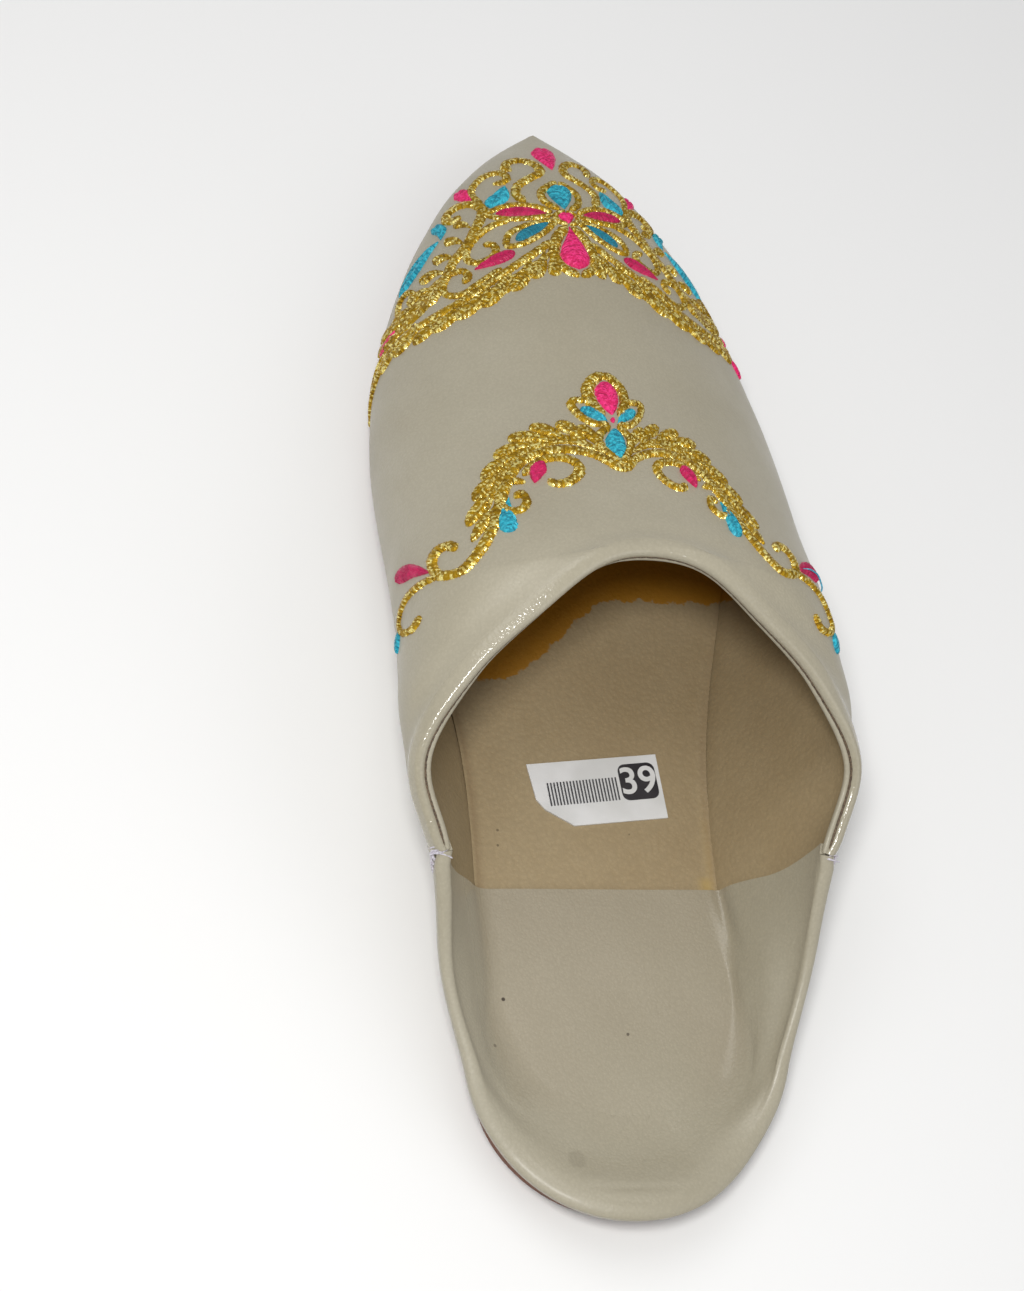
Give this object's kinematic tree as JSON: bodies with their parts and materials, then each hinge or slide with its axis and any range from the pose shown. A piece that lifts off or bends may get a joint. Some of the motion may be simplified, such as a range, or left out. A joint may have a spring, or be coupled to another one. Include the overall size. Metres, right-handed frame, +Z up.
{
  "type": "babouche slipper",
  "caption": "Backless flat leather slipper with a pointed toe, a hollow upper open at a wide mouth, a folded-down heel quarter and a thin flat sole.",
  "frame": {"origin": "centre of the footprint, on the plane that the sole stands on", "axes": "+Y towards the toe, +X towards the side, +Z up"},
  "size_m": [0.096, 0.2708, 0.0697],
  "materials": {
    "upper_leather": "soft sheen, fine pebble grain",
    "lining": "matte, fine grain",
    "sole": "matte, smooth",
    "thread": "shiny satin stitch",
    "label": "smooth paper"
  },
  "bodies": {
    "root": {"outsole": "sole", "insole": "lining", "upper": "upper_leather", "heel_fold": "upper_leather"}
  },
  "joints": []
}
